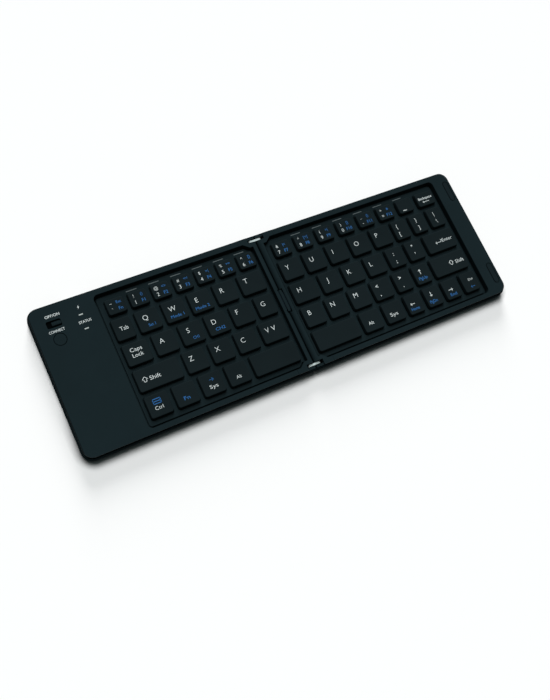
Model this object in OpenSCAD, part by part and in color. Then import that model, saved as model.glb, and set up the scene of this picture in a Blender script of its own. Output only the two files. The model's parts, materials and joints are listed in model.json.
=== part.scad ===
// Folding keyboard in two halves, joined at the seam by two hinge links.
// Millimetres. X runs along the keyboard, +Y is away from the typist, +Z is up.
// The origin is on the surface it stands on, at the middle of the seam.

/* [Case] */
// Length of the open keyboard
case_l = 304.5; // [302:0.5:320]
// Depth from the front edge to the back edge
case_w = 97; // [96:0.5:106]
// Height of the open keyboard, feet included
case_h = 8; // [7.8:0.1:9]
// Corner radius of the lower shell, seen from above
corner_r = 7; // [4:0.5:9]
// How far the lower shell stands out past the top shell
bulge = 0.9; // [0.6:0.05:1.2]
// How far the lower shell's side tucks in at its foot
tuck = 1; // [0.4:0.1:1.6]
// Thickness of the lower shell's side wall
wall = 2; // [1.8:0.1:2.3]
// Thickness of the lower shell's floor
floor_t = 1.1; // [1:0.05:1.3]
// Thickness of the top shell's plate
plate_t = 1.4; // [1.2:0.05:1.7]
// Height of the shadow gap between the shells
groove_h = 0.6; // [0.3:0.05:0.9]
// Depth of the channel behind the lower shell's lip
channel_d = 0.8; // [0.4:0.1:1.2]
// Thickness of the lower shell's lip, outside the channel
lip_t = 0.5; // [0.4:0.05:0.6]
// Rounding of the lower shell's lip
lip_round = 0.3; // [0.1:0.05:0.4]
// Thickness of the tongue that carries the top shell
tongue_t = 0.5; // [0.4:0.05:0.7]
// Thickness of the well's side walls
well_wall = 1; // [0.8:0.1:1.2]

/* [Keys] */
// Depth of a number key
number_d = 10.4; // [9.8:0.1:11]
// Gap between neighbouring keys in a row
key_gap = 2.9; // [2.4:0.1:3.1]
// Gap between the right half's number keys
number_gap = 3.8; // [2.9:0.1:4]
// How far the first number key stands in from the letter keys' left edge
number_lead = 1.4; // [0:0.1:2]
// How far the last number key stands out past the letter keys' right edge
number_tail = 0.6; // [0:0.1:0.8]
// Gap between two rows of keys
row_gap = 2.8; // [2.5:0.1:2.9]
// Corner radius of a key
key_r = 1.3; // [0.8:0.1:2]
// Skirt and crown thickness of a key
key_t = 0.8; // [0.6:0.05:0.9]
// Step between a key's skirt and its crown
crown_step = 0.3; // [0.2:0.05:0.5]
// How far the keys lie below the top of the case
key_sink = 0.3; // [0.1:0.05:0.5]
// Travel of a key
key_travel = 1.6; // [1.2:0.1:1.7]
// Gap left under a pressed key
press_gap = 0.2; // [0.1:0.05:0.3]

/* [Well] */
// Radius of a well's outer corners
well_r = 3.2; // [2:0.1:3.6]
// Width of the seam rim, from the middle of the seam to the well
seam_rim = 3.7; // [3.6:0.1:4]
// Width of the back rim of the top shell
back_rim = 3.6; // [3.4:0.1:4.4]
// Width of the front rim of the top shell
front_rim = 3.1; // [3:0.1:3.5]
// Width of the plain left end of the top shell
left_band = 39.75; // [38:0.05:43]
// Width of the plain right end of the top shell
right_band = 12.95; // [11:0.05:16]
// Space between the well and the keys, at the seam
key_margin = 2.9; // [2.6:0.1:3.3]
// Space between the keys and the well's outer end, left half
left_margin = 3.7; // [3:0.1:4.5]
// Space between the keys and the well's outer end, right half
right_margin = 4.1; // [3:0.1:5]
// Space behind the number keys
back_margin = 5.2; // [4.6:0.1:5.6]
// Space in front of the front row
front_margin = 4.7; // [4.4:0.1:5]
// How far the hinge corners step into the well
corner_step = 3.1; // [2.4:0.1:3.2]
// Width of the flat part of a hinge corner
corner_flat = 6; // [5:0.1:7]
// Thickness of the key deck
deck_t = 1; // [0.8:0.05:1.2]
// Height of the webs between the keys, above the key deck
web_h = 1.4; // [1:0.1:1.6]
// Width of the groove between the webs and the rims
web_in = 1.5; // [1.2:0.1:1.8]
// Space between a key and the webs around it
pocket_fit = 0.3; // [0.2:0.05:0.4]
// Thickness of the key circuit
circuit_t = 0.6; // [0.4:0.05:0.7]
// Space under the key circuit
circuit_gap = 0.3; // [0.25:0.05:0.4]
// How far the deck reaches under the rims
deck_lap = 1.1; // [1:0.05:1.2]

/* [Hinge] */
// Length of a hinge frame along the rims
hinge_l = 12.8; // [11.5:0.1:16]
// Radius of the rounded edge along the seam
edge_r = 2.85; // [2.6:0.05:2.95]
// Gap between the top faces when folded
fold_gap = 0.3; // [0.2:0.05:0.6]
// Gap between the halves at the seam, open
seam_gap = 0.5; // [0.4:0.05:0.7]
// Radius of a link's round end
link_r = 1.2; // [1.1:0.05:1.3]
// Thickness of a link
link_t = 1.8; // [1.6:0.1:2.4]
// Distance from a link's middle to the top shell's edge
link_inset = 2.6; // [2.5:0.1:3]
// Thickness of the outer ear above its pin
ear_t = 0.8; // [0.6:0.05:1]
// Distance of a hinge frame's outer face from the lower shell's side
frame_in = 0.8; // [0.7:0.05:0.9]
// Thickness of a hinge frame's apron, outside its ear
apron_t = 0.4; // [0.3:0.05:0.5]
// Radius of a hinge pin
pin_r = 0.75; // [0.6:0.05:0.8]
// Radial clearance of a pin in the frames
pin_fit = 0.05; // [0.02:0.01:0.08]
// Length of a pin past each face of its link
pin_reach = 1.1; // [0.8:0.05:1.15]
// Clearance beside a link
link_fit = 0.2; // [0.15:0.05:0.3]
// Length of the pocket around a link, from the seam
pocket_l = 5.8; // [5:0.1:7]
// Length of the cable guard
guard_l = 15.2; // [12:0.1:20]
// Width of the cable guard
guard_w = 1.9; // [1.4:0.1:2.2]
// Gap between the cable guard and its notch
guard_gap = 0.75; // [0.5:0.05:0.8]
// Thickness of the ribbon cable
ribbon_t = 0.2; // [0.15:0.05:0.25]
// Width of the ribbon cable
ribbon_w = 12; // [8:0.5:12]

/* [Controls] */
// Distance of the switch and the button from the top shell's left edge
switch_in = 12.8; // [11:0.1:15]
// Distance of the lights and the socket from the top shell's left edge
light_in = 29.4; // [27:0.1:31]
// Distance of the switch from the back edge of the top shell
switch_back = 12.2; // [11.5:0.1:13]
// Distance between the switch and the button
button_pitch = 10.3; // [9.8:0.1:11]
// Length of the switch slot
slot_l = 9; // [8.6:0.1:9.4]
// Width of the switch slot
slot_w = 4.6; // [4:0.1:5]
// Length of the slider's knob
knob_l = 5.8; // [5:0.1:6.2]
// Radius of the connect button
button_r = 3.9; // [3:0.1:4]
// Clearance around the button and the knob
control_fit = 0.1; // [0.08:0.01:0.15]
// Travel of the connect button
button_travel = 0.5; // [0.3:0.05:0.5]
// Length of a status light
light_l = 2.6; // [2:0.1:4]
// Width of a status light
light_w = 0.8; // [0.6:0.05:1]
// Width of the charging socket
socket_w = 7.6; // [7:0.1:9]
// Height of the charging socket
socket_h = 2.6; // [2.4:0.1:2.7]
// Thickness of the main circuit board
board_t = 0.8; // [0.6:0.05:1]
// Space under the main circuit board
board_gap = 0.5; // [0.3:0.05:0.6]
// Distance from the button to the main circuit board's front edge
board_reach = 9; // [7:0.5:12]
// Thickness of the battery
battery_t = 3.8; // [3:0.1:4.2]
// Space around the battery
battery_gap = 1; // [0.8:0.1:2]

/* [Feet, pads and screws] */
// How far the feet stand out under the case
foot_h = 0.4; // [0.3:0.05:0.5]
// Depth of a foot's recess
foot_sink = 0.4; // [0.3:0.05:0.5]
// Length of a foot
foot_l = 14; // [10:0.5:20]
// Width of a foot
foot_w = 4; // [3:0.1:6]
// Length of a bumper pad
pad_l = 15.4; // [12:0.1:20]
// Width of a bumper pad
pad_w = 4.4; // [3:0.1:5]
// Thickness of a bumper pad
pad_t = 0.55; // [0.4:0.05:0.7]
// Distance of the bumper pads from the outer edge
pad_in = 3.7; // [3.4:0.1:5]
// Distance of the bumper pads from the ends of the well
pad_end = 11.1; // [9:0.1:14]
// Distance of the screws from the top shell's edge
screw_in = 1.8; // [1.8:0.05:1.95]
// Length of a screw's shank
screw_l = 4.4; // [3.5:0.1:4.8]
// Radius of a screw's shank
screw_r = 0.7; // [0.6:0.05:0.8]
// Radius of a screw's head
head_r = 1.2; // [1.1:0.05:1.25]
// Height of a screw's head
head_h = 0.5; // [0.4:0.05:0.55]
// Radius of a screw boss
boss_r = 1.35; // [1.3:0.05:1.4]

/* [Hidden] */
$fn = 48;
LEFT = 0;
RIGHT = 1;
half_l = case_l/2;
half_w = case_w/2;
top_l = half_l - bulge;             // the top shell's edge, from the seam
top_w = half_w - bulge;             // the top shell's back edge
foot_top = foot_h;                  // underside of the lower shell
floor_top = foot_top + floor_t;
circuit_z = floor_top + circuit_gap;
deck_z = circuit_z + circuit_t;
deck_top = deck_z + deck_t;
plate_z = case_h - plate_t;         // underside of the top shell's plate
lip_z = plate_z - groove_h;         // top of the lower shell's lip
well_in = seam_rim;
well_back = top_w - back_rim;
well_front = front_rim - top_w;
block_front = well_front + front_margin;
row_pitch = (well_back - back_margin - number_d - block_front)/4;
letter_d = row_pitch - row_gap;
left_out = top_l - left_band;
right_out = top_l - right_band;
key_top = case_h - key_sink;
key_foot = deck_top + press_gap + key_travel;
key_roof = key_top - key_t;         // underside of a key's crown
axis_x = edge_r + fold_gap/2;       // hinge axes, from the middle of the seam
axis_z = case_h - edge_r;
link_y = top_w - link_inset;
frame_out = half_w - frame_in;      // outer face of a hinge corner
ear_out = frame_out - apron_t;       // outer face of the ears inside the lower shell
parting = 0.1;                      // hairline between the top shell and a hinge frame
fit = 0.15;                         // clearance between pieces that lie side by side
eps = 0.01;
overlap = 0.2;                      // how deep pieces of one solid run into each other
rib_t = 0.8;
swing_r = norm([well_in - axis_x, edge_r]) + fit;   // what swings over a rim stays outside this
guard_foot = 0.3;                   // half the width of the cable guard's flat underside
guard_z = axis_z + sqrt(pow(swing_r, 2) - pow(axis_x - guard_foot, 2));
board_z = floor_top + board_gap;    // underside of the main board
board_top = board_z + board_t;
switch_x = -(top_l - switch_in);
light_x = -(top_l - light_in);
switch_y = top_w - switch_back;
button_y = switch_y - button_pitch;
dome_r = 2.8;
dome_top_r = 1.5;
dome_t = 0.4;
dome_top = key_roof - 0.9;
frame_bar = 0.7;                    // scissor bars, square
wide_key = 20;                      // keys wider than this get a balance wire
wire_r = 0.35;
thread_fit = 0.02;
head_top = foot_top + head_h + 0.1; // where a screw's head seats in the lower shell
lamp_h = 0.6;

// Widths of the keys in each row, from left to right, where a letter key is 1.
ROWS = [
    [[1, 1, 1, 1, 1, 1, 1], [0.83, 1, 1, 1, 1, 1.16], [1.1, 1, 1, 1, 1, 0.89],
        [1.97, 1, 1, 1, 1.21], [1, 1, 1, 1, 2.19]],
    [[1, 1, 1, 1, 1, 1, 1, 1.15], [1, 1, 1, 1, 1, 0.8, 0.8, 0.8],
        [1.25, 1, 1, 1, 0.87, 0.87, 1.62], [1, 1, 1, 1, 0.87, 0.85, 1.89],
        [2.21, 1, 1, 0.85, 0.85, 0.85, 0.85]]
];

// ---- Layout of the keys ----

function sum(v, i = 0) = i >= len(v) ? 0 : v[i] + sum(v, i + 1);
function gap_of(side, row) = (side == RIGHT && row == 0) ? number_gap : key_gap;
function block_w(side) = (side == LEFT ? left_out - left_margin : right_out - right_margin)
    - well_in - key_margin;
function block_x(side) = side == LEFT ? left_margin - left_out : well_in + key_margin;
function lead_of(row) = row == 0 ? number_lead : 0;
function tail_of(row) = row == 0 ? number_tail : 0;
function unit_w(side, row) = (block_w(side) - lead_of(row) + tail_of(row)
    - gap_of(side, row)*(len(ROWS[side][row]) - 1))/sum(ROWS[side][row]);
function key_w(side, row, i) = ROWS[side][row][i]*unit_w(side, row);
function key_x(side, row, i) =
    i == 0 ? block_x(side) + lead_of(row) : key_x(side, row, i - 1) + key_w(side, row, i - 1) + gap_of(side, row);
function key_d(row) = row == 0 ? number_d : letter_d;
function key_y(row) = block_front + (4 - row)*row_pitch;
function key_mid(side, row, i) =
    [key_x(side, row, i) + key_w(side, row, i)/2, key_y(row) + key_d(row)/2];
function well_out(side) = side == LEFT ? left_out : right_out;
function screw_places(side) = [
    for (x = [hinge_l + parting + well_wall + boss_r, (hinge_l + top_l)/2, top_l - corner_r + head_r],
        y = [-1, 1]) [x, y]
];
screw_y = top_w - screw_in;
pad_y = well_back - pad_end;
foot_places = [for (x = [hinge_l + foot_l, top_l - foot_l], y = [-1, 1]) [x, y*(well_back - 2*foot_w)]];

narrowest = min([for (s = [LEFT, RIGHT], row = [0:4], i = [0:len(ROWS[s][row]) - 1]) key_w(s, row, i)]);
scissor_w = narrowest - 2*key_t - 4*fit;

module each_key(side) {
    for (row = [0:4], i = [0:len(ROWS[side][row]) - 1])
        translate(concat(key_mid(side, row, i), [0])) {
            $key_w = key_w(side, row, i);
            $key_d = key_d(row);
            children();
        }
}

// Right half as drawn, left half as its mirror image.
module half(side) {
    mirror([side == LEFT ? 1 : 0, 0, 0]) children();
}

// ---- Plane shapes ----

module round_rect(w, d, r) {
    square([w - 2*r, d], center = true);
    square([w, d - 2*r], center = true);
    for (x = [-1, 1], y = [-1, 1])
        translate([x*(w/2 - r), y*(d/2 - r)]) circle(r);
}

// Rectangle with corners broken by three facets each, from its half width and half depth.
module pocket_shape(x, y, r) {
    polygon([for (q = [[1, 1, 0], [-1, 1, 90], [-1, -1, 180], [1, -1, 270]], a = [0:30:90])
        [q[0]*(x - r) + r*cos(q[2] + a), q[1]*(y - r) + r*sin(q[2] + a)]]);
}

module slot_shape(l, w) {
    square([l - w, w], center = true);
    for (x = [-1, 1]) translate([x*(l - w)/2, 0]) circle(w/2);
}

// Outline of one half, drawn in by inset, from the seam outwards.
module half_outline(inset) {
    x0 = seam_gap/2;
    r = corner_r - inset;
    translate([x0, -(half_w - inset)])
        square([half_l - corner_r - x0, 2*(half_w - inset)]);
    translate([x0, -(half_w - corner_r)])
        square([half_l - inset - x0, 2*(half_w - corner_r)]);
    for (y = [-1, 1]) translate([half_l - corner_r, y*(half_w - corner_r)]) circle(r);
}

// Opening of one well at the top, without the hinge corners.
module well_shape(side, grow = 0) {
    x0 = well_in - grow;
    x1 = well_out(side);
    translate([x0, well_front - grow]) square([x1 - well_r - x0, well_back - well_front + 2*grow]);
    translate([x0, well_front + well_r]) square([x1 + grow - x0, well_back - well_front - 2*well_r]);
    for (y = [well_front + well_r, well_back - well_r]) translate([x1 - well_r, y]) circle(well_r + grow);
}

// Hinge corner: steps into the well beside the hinge. Drawn at the back, y is +1 or -1.
module corner_shape(y, x0, out, grow = 0) {
    edge = y > 0 ? well_back : -well_front;
    step = edge - corner_step - grow;
    mirror([0, y > 0 ? 0 : 1])
        polygon([[x0, step], [corner_flat + grow/2, step],
            [corner_flat + corner_step + 0.7 + grow/2, edge - grow],
            [hinge_l + grow, edge - grow], [hinge_l + grow, out], [x0, out]]);
}

// ---- Cuts shared by what lies along the seam ----

// Leaves a quarter round about the hinge axis above it, and half the seam gap below.
module seam_cut() {
    translate([0, case_w, 0]) rotate([90, 0, 0]) linear_extrude(2*case_w) {
        translate([-5, -5]) square([5 + seam_gap/2, 5 + axis_z]);
        difference() {
            translate([-5, axis_z]) square([5 + axis_x, case_h]);
            translate([axis_x, axis_z]) circle(edge_r, $fn = 96);
        }
    }
}

module link_pockets() {
    for (y = [-1, 1]) {
        in = link_y - link_t/2 - link_fit;
        mirror([0, y > 0 ? 0 : 1, 0]) {
            translate([-1, in, axis_z - link_r - link_fit])
                cube([pocket_l + 1, link_t + 2*link_fit, case_h]);
            translate([-1, in, axis_z + pin_r + ear_t])
                cube([pocket_l + 1, case_w, case_h]);
        }
    }
}

module pin_at(y, r, reach) {
    translate([axis_x, y*link_y, axis_z]) rotate([90, 0, 0])
        cylinder(h = link_t + 2*reach, r = r, center = true);
}

// ---- Lower shells ----

module base(side) {
    slices = [[foot_top, tuck], [foot_top + 0.6*tuck, 0.35*tuck], [foot_top + 1.7*tuck, 0],
        [lip_z - 1.6*lip_round, 0], [lip_z - 0.4*lip_round, 0.4*lip_round], [lip_z, lip_round]];
    half(side) difference() {
        union() {
            intersection() {
                hull() for (s = slices)
                    translate([0, 0, s[0] - eps]) linear_extrude(eps) half_outline(s[1], $fn = 32);
                translate([0, -case_w, 0]) cube([case_l, 2*case_w, case_h]);
            }
            // tongue that carries the top shell, clear of the hinge frame
            translate([0, 0, lip_z - channel_d - 0.4]) linear_extrude(groove_h + channel_d + 0.4)
                difference() {
                    half_outline(wall - tongue_t);
                    half_outline(wall);
                    square([2*hinge_l, 2*case_w], center = true);
                }
        }
        // inside
        translate([0, 0, floor_top]) linear_extrude(case_h) difference() {
            half_outline(wall);
            square([2*(seam_gap/2 + well_wall), 2*case_w], center = true);
        }
        // channel behind the lip
        translate([0, 0, lip_z - channel_d]) linear_extrude(case_h) difference() {
            half_outline(lip_t);
            half_outline(wall - tongue_t);
        }
        // room for the hinge frame
        translate([0, -(ear_out + fit), floor_top + eps])
            cube([hinge_l + fit, 2*(ear_out + fit), case_h]);
        for (p = foot_places) translate([p[0], p[1], -1]) linear_extrude(1 + foot_top + foot_sink)
            slot_shape(foot_l + 2*eps, foot_w + 2*eps);
        for (p = screw_places(side)) translate([p[0], p[1]*screw_y, 0]) {
            cylinder(h = case_h, r = screw_r + fit);
            cylinder(h = head_top, r = head_r + fit);
            // room for the boss in the side wall
            translate([0, 0, floor_top]) cylinder(h = case_h, r = boss_r + fit);
        }
        if (side == LEFT) translate([-light_x, half_w, board_top + socket_h/2]) rotate([90, 0, 0])
            linear_extrude(3*wall, center = true) round_rect(socket_w + 2*fit, socket_h + 2*fit, 0.5);
    }
    // seam wall and ribs under the circuit
    half(side) {
        difference() {
            translate([seam_gap/2, well_front + corner_step + fit, floor_top - overlap])
                cube([well_wall, well_back - well_front - 2*(corner_step + fit), deck_top - floor_top + overlap]);
            seam_cut();
        }
        for (y = [1:4]) translate([2*well_in, block_front + y*row_pitch - row_gap/2 - rib_t/2, floor_top - overlap])
            cube([well_out(side) - 3*well_in, rib_t, circuit_gap + overlap]);
    }
    if (side == LEFT) board_posts();
}

module left_base() color("#3a464a") base(LEFT);
module right_base() color("#3a464a") base(RIGHT);

module board_posts() {
    for (x = [bay_x0 + 8, bay_x1 - 3], y = [board_y0 + 3, board_y1 - 3])
        translate([x, y, floor_top - overlap]) cylinder(h = board_gap + overlap, r = boss_r);
}

// ---- Top shells ----

module bezel(side) {
    x0 = hinge_l + parting;
    half(side) difference() {
        union() {
            translate([0, 0, plate_z]) linear_extrude(plate_t) difference() {
                half_outline(bulge);
                square([2*x0, 2*case_w], center = true);
            }
            // side walls of the well, down to the deck
            translate([0, 0, deck_top]) linear_extrude(plate_z - deck_top + eps) difference() {
                well_shape(side, well_wall);
                square([2*x0, 2*case_w], center = true);
            }
            for (p = screw_places(side)) translate([p[0], p[1]*screw_y, floor_top])
                cylinder(h = plate_z - floor_top + eps, r = boss_r);
        }
        translate([0, 0, -1]) linear_extrude(case_h + 2) difference() {
            well_shape(side);
            square([2*x0 - 2*eps, 2*case_w], center = true);
        }
        for (p = screw_places(side)) translate([p[0], p[1]*screw_y, -1])
            cylinder(h = 1 + head_top + screw_l, r = screw_r + thread_fit);
        if (side == LEFT) mirror([1, 0, 0]) control_holes();
        if (side == RIGHT) for (y = [-1, 1])
            translate([top_l - pad_in, y*pad_y, case_h - pad_t - 0.05]) rotate(90)
                linear_extrude(pad_t + 1) slot_shape(pad_l + 2*eps, pad_w + 2*eps);
    }
}

module control_holes() {
    translate([switch_x, switch_y, plate_z - 1]) linear_extrude(plate_t + 2) round_rect(slot_l, slot_w, 1);
    translate([switch_x, button_y, plate_z - 1]) cylinder(h = plate_t + 2, r = button_r + control_fit);
    for (y = [switch_y, button_y + 1]) translate([light_x, y, plate_z - 1])
        linear_extrude(plate_t + 2) round_rect(light_l + 0.1, light_w + 0.1, 0.2);
}

module left_bezel() color("#20282b") bezel(LEFT);
module right_bezel() color("#20282b") bezel(RIGHT);

// ---- Hinge frames: the seam rim and the two hinge corners of a half ----

module hinge_frame(side) {
    half(side) difference() {
        union() {
            translate([0, well_front, deck_top]) cube([well_in, well_back - well_front, case_h - deck_top]);
            for (y = [-1, 1]) {
                translate([0, 0, lip_z + fit]) linear_extrude(case_h - lip_z - fit)
                    corner_shape(y, 0, frame_out);
                translate([0, 0, floor_top + eps]) linear_extrude(case_h - floor_top - eps)
                    corner_shape(y, 0, ear_out);
            }
        }
        seam_cut();
        link_pockets();
        for (y = [-1, 1]) {
            pin_at(y, pin_r + pin_fit, pin_reach + pin_fit);
            translate([axis_x, y*link_y, axis_z]) rotate([-90*y, 0, 0]) cylinder(h = case_w, r = pin_r + pin_fit);
        }
        // notch for the cable guard, and the cable's way down
        translate([-1, -(guard_l/2 + guard_gap), guard_z - 1])
            cube([1 + guard_w/2 + guard_gap, guard_l + 2*guard_gap, case_h]);
        translate([guard_w/2 + guard_gap - eps, -(ribbon_w/2 + 0.4), 0])
            cube([1.1, ribbon_w + 0.8, guard_z + 0.5]);
        for (p = screw_places(side)) translate([p[0], p[1]*screw_y, 0]) cylinder(h = case_h/2, r = boss_r + fit);
    }
}

module left_hinge_frame() color("#262e31") hinge_frame(LEFT);
module right_hinge_frame() color("#262e31") hinge_frame(RIGHT);

// ---- Decks and circuits under the keys ----

module deck_plan(side, inset) {
    half(side) difference() {
        well_shape(side, deck_lap - inset);
        for (y = [-1, 1]) corner_shape(y, 0, case_w, fit + inset);
        for (p = screw_places(side)) translate([p[0], p[1]*screw_y]) circle(boss_r + fit);
    }
}

// Plan of the webs that stand around the keys, with a groove along the rims.
module web_plan(side) {
    half(side) difference() {
        well_shape(side, -web_in);
        for (y = [-1, 1]) corner_shape(y, 0, case_w, web_in/2);
    }
}

module deck(side) {
    difference() {
        union() {
            translate([0, 0, deck_z]) linear_extrude(deck_t) deck_plan(side, 0);
            translate([0, 0, deck_top - overlap]) linear_extrude(web_h + overlap) web_plan(side);
        }
        each_key(side) {
            translate([0, 0, deck_z - 1]) cylinder(h = deck_t + 2, r = dome_r + 0.3);
            translate([0, 0, deck_top]) linear_extrude(web_h + 1)
                pocket_shape($key_w/2 + pocket_fit, $key_d/2 + pocket_fit, key_r + pocket_fit);
        }
    }
}

module circuit(side) {
    translate([0, 0, circuit_z]) linear_extrude(circuit_t) deck_plan(side, 0.2);
}

module left_deck() color("#2a3235") deck(LEFT);
module right_deck() color("#2a3235") deck(RIGHT);
module left_circuit() color("#1f5b3a") circuit(LEFT);
module right_circuit() color("#1f5b3a") circuit(RIGHT);

// ---- Rubber domes and scissors, one set under each key ----

module dome() {
    rotate_extrude($fn = 24) polygon([
        [dome_r, deck_z], [dome_top_r, dome_top], [0, dome_top], [0, dome_top - 2*dome_t],
        [dome_top_r - dome_t, dome_top - 2*dome_t], [dome_r - dome_t, deck_z]]);
}

module scissor_frame(w, l, tilt) {
    translate([0, 0, (deck_top + key_roof)/2]) rotate([tilt, 0, 0]) difference() {
        cube([w, l, frame_bar], center = true);
        cube([w - 2*frame_bar, l - 2*frame_bar, 2*frame_bar], center = true);
    }
}

// Two frames that cross like scissors, and a balance wire under a wide key.
module scissors() {
    l = $key_d - 2*key_t - 1.6;
    rise = key_roof - deck_top - frame_bar;
    tilt = asin(rise/l);
    scissor_frame(scissor_w, l, tilt);
    scissor_frame(scissor_w - 2*frame_bar - 0.4, l, -tilt);
    if ($key_w > wide_key) balance_wire($key_w - 2*key_t - 2, $key_d/2 - key_t - wire_r - 0.15);
}

module balance_wire(l, y) {
    high = key_roof - wire_r - 0.1;
    low = deck_top + wire_r + 0.1;
    translate([0, -y, high]) rotate([0, 90, 0]) cylinder(h = l, r = wire_r, center = true, $fn = 16);
    for (x = [-1, 1]) {
        arm = [0, y + 1, low - high];
        translate([x*l/2, -y, high]) {
            sphere(wire_r, $fn = 16);
            rotate([-acos(arm[2]/norm(arm)), 0, 0]) cylinder(h = norm(arm), r = wire_r, $fn = 16);
        }
    }
}

module left_domes() color("#4c4f50") each_key(LEFT) dome();
module right_domes() color("#4c4f50") each_key(RIGHT) dome();
module left_scissors() color("#26292a") each_key(LEFT) scissors();
module right_scissors() color("#26292a") each_key(RIGHT) scissors();

// ---- Feet, pads and screws ----

module feet(side) {
    half(side) for (p = foot_places) translate([p[0], p[1], 0])
        linear_extrude(foot_top + foot_sink) slot_shape(foot_l, foot_w);
}

module screws(side) {
    half(side) for (p = screw_places(side)) translate([p[0], p[1]*screw_y, head_top - head_h]) difference() {
        union() {
            cylinder(h = head_h, r = head_r);
            cylinder(h = screw_l, r = screw_r);
        }
        // cross recess
        for (a = [0, 90]) rotate(a) cube([1.1*head_r, 0.25*head_r, head_h], center = true);
    }
}

module left_feet() color("#15191a") feet(LEFT);
module right_feet() color("#15191a") feet(RIGHT);
module left_screws() color("#8d9294") screws(LEFT);
module right_screws() color("#8d9294") screws(RIGHT);

module right_pads() color("#1a2022") for (y = [-1, 1])
    translate([top_l - pad_in, y*pad_y, case_h - pad_t - 0.05]) rotate(90)
        linear_extrude(pad_t) slot_shape(pad_l, pad_w);

// ---- Electronics in the wide left end ----

bay_x0 = -(half_l - wall - 1);
bay_x1 = -(left_out + deck_lap + 0.8);
board_y0 = button_y - board_reach;
board_y1 = half_w - wall - 0.8;

module main_board() color("#1f5b3a") difference() {
    union() {
        translate([bay_x0, board_y0, board_z]) cube([bay_x1 - bay_x0, board_y1 - board_y0, board_t]);
        // lamps under the status lights
        for (y = [switch_y, button_y + 1]) translate([light_x, y, board_top + lamp_h/2 - eps])
            cube([1.6, 0.8, lamp_h + 2*eps], center = true);
    }
    translate([0, 0, -1]) for (p = screw_places(LEFT)) translate([-p[0], p[1]*screw_y, 0])
        cylinder(h = case_h, r = boss_r + fit);
    translate([bay_x0 - 1, half_w - corner_r - 1, 0]) cube([corner_r - 1, corner_r, case_h]);
}

module battery() color("#9aa3a8") {
    y0 = wall + 3*battery_gap - half_w;
    y1 = board_y0 - battery_gap;
    translate([(bay_x0 + bay_x1)/2, (y0 + y1)/2, floor_top])
        linear_extrude(battery_t) round_rect(bay_x1 - bay_x0 - 2*battery_gap, y1 - y0, 2.5);
}

module charging_socket() color("#b9bec0") translate([light_x, 0, board_top]) {
    depth = 5.4;
    translate([0, half_w - 0.4, socket_h/2]) rotate([90, 0, 0]) difference() {
        linear_extrude(depth) round_rect(socket_w, socket_h, 0.5);
        translate([0, 0, -1]) linear_extrude(depth) round_rect(socket_w - 0.6, socket_h - 0.6, 0.4);
    }
    // contact tongue
    translate([-socket_w/2 + 1.6, half_w - 0.4 - depth + 0.9, socket_h/2 - 0.3])
        cube([socket_w - 3.2, depth - 2, 0.6]);
}

slider_z = plate_z - 0.7;           // underside of the slider's plate
knob_x = switch_x + slot_l/2 - control_fit - knob_l/2;

module slide_switch() color("#9aa0a2") translate([switch_x, switch_y, board_top]) difference() {
    linear_extrude(1.5) round_rect(slot_l - 0.4, 3.6, 0.3);
    translate([0, 0, 0.5]) linear_extrude(2) round_rect(slot_l - 2, 1.6, 0.3);
}

module power_slider() color("#1b2224") {
    translate([knob_x, switch_y, slider_z]) {
        linear_extrude(0.6) round_rect(slot_l + 3.2, slot_w + 2.4, 1);
        linear_extrude(case_h - 0.3 - slider_z) round_rect(knob_l, slot_w - 2*control_fit, 1);
        translate([-0.1, 0, board_top + 0.8 - slider_z]) cylinder(h = slider_z - board_top - 0.7, r = 0.6);
    }
}

module button_switch() color("#30383b") translate([switch_x, button_y, board_top])
    linear_extrude(1.2) round_rect(4.4, 4.4, 0.5);

module connect_button() color("#1b2224") translate([switch_x, button_y, 0]) {
    flange_z = plate_z - 0.6;
    translate([0, 0, flange_z]) cylinder(h = 0.5, r = button_r + 0.7);
    translate([0, 0, flange_z]) cylinder(h = case_h - 0.1 - flange_z, r = button_r);
    low = board_top + 1.2 + button_travel + 0.1;
    translate([0, 0, low]) cylinder(h = flange_z - low + 0.1, r = 1.1);
}

module status_lights() color("#dfe8e6") for (y = [switch_y, button_y + 1])
    translate([light_x, y, board_top + lamp_h]) linear_extrude(case_h - board_top - lamp_h)
        round_rect(light_l, light_w, 0.2);

// ---- Hinge ----

module hinge_links() color("#c4c9ca") for (y = [-1, 1])
    translate([0, y*link_y, axis_z]) rotate([90, 0, 0]) linear_extrude(link_t, center = true)
        difference() {
            slot_shape(2*(axis_x + link_r), 2*link_r);
            for (x = [-1, 1]) translate([x*axis_x, 0]) circle(pin_r);
        }

module hinge_pins() color("#8d9294") for (x = [0, 1], y = [-1, 1])
    mirror([x, 0, 0]) pin_at(y, pin_r, pin_reach);

// Bar between the halves, clear of the rounded edges as they swing.
module cable_guard() color("#2a3235") translate([0, guard_l/2, 0]) rotate([90, 0, 0])
    linear_extrude(guard_l) difference() {
        translate([-guard_w/2, guard_z]) square([guard_w, case_h - 0.25 - guard_z]);
        for (x = [-1, 1]) translate([x*axis_x, axis_z]) circle(swing_r, $fn = 96);
    }

module ribbon_cable() color("#2b4a5a") {
    up = guard_w/2 + guard_gap + 0.4;          // where the cable runs down beside the seam
    tail = well_in + 5;
    translate([0, ribbon_w/2, 0]) rotate([90, 0, 0]) linear_extrude(ribbon_w) {
        translate([-up, guard_z - ribbon_t]) square([2*up, ribbon_t]);
        for (m = [0, 1]) mirror([m, 0]) {
            translate([up - eps, circuit_z - ribbon_t]) square([ribbon_t, guard_z - circuit_z + ribbon_t]);
            translate([up - eps, circuit_z - ribbon_t]) square([tail - up, ribbon_t]);
        }
    }
}

// ---- Keys ----

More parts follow.
